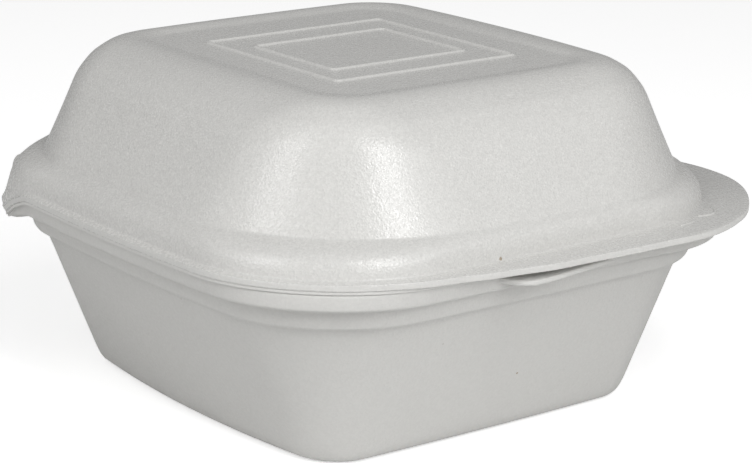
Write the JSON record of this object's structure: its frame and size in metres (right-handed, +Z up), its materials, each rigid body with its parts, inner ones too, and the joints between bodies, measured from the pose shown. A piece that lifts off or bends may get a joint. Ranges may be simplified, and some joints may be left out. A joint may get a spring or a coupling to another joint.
{
  "type": "foam clamshell container",
  "caption": "Hinged foam food box: a stepped, tapered tray under a domed lid with a pressed top panel, a wide lifting lip and a folded hinge band.",
  "frame": {"origin": "centre of the tray's floor, on the surface that it stands on", "axes": "+Z up, -Y towards the opening side with the lip, +Y towards the hinge band, +X to the user's right"},
  "size_m": [0.1499, 0.1559, 0.0804],
  "materials": {
    "tray_foam": "smooth pressed foam skin",
    "lid_foam": "smooth pressed foam skin with a pearly grain",
    "band_foam": "creased foam"
  },
  "bodies": {
    "tray": {"tray": "tray_foam", "hinge_band": "band_foam"},
    "lid": {"lid": "lid_foam"}
  },
  "joints": [
    {"name": "lid_hinge", "type": "hinge", "parent": "tray", "child": "lid", "pos_m": [0, 0.0755, 0.041], "axis": [-1, 0, 0], "range_deg": [0, 180], "deforming": ["hinge_band"]}
  ]
}
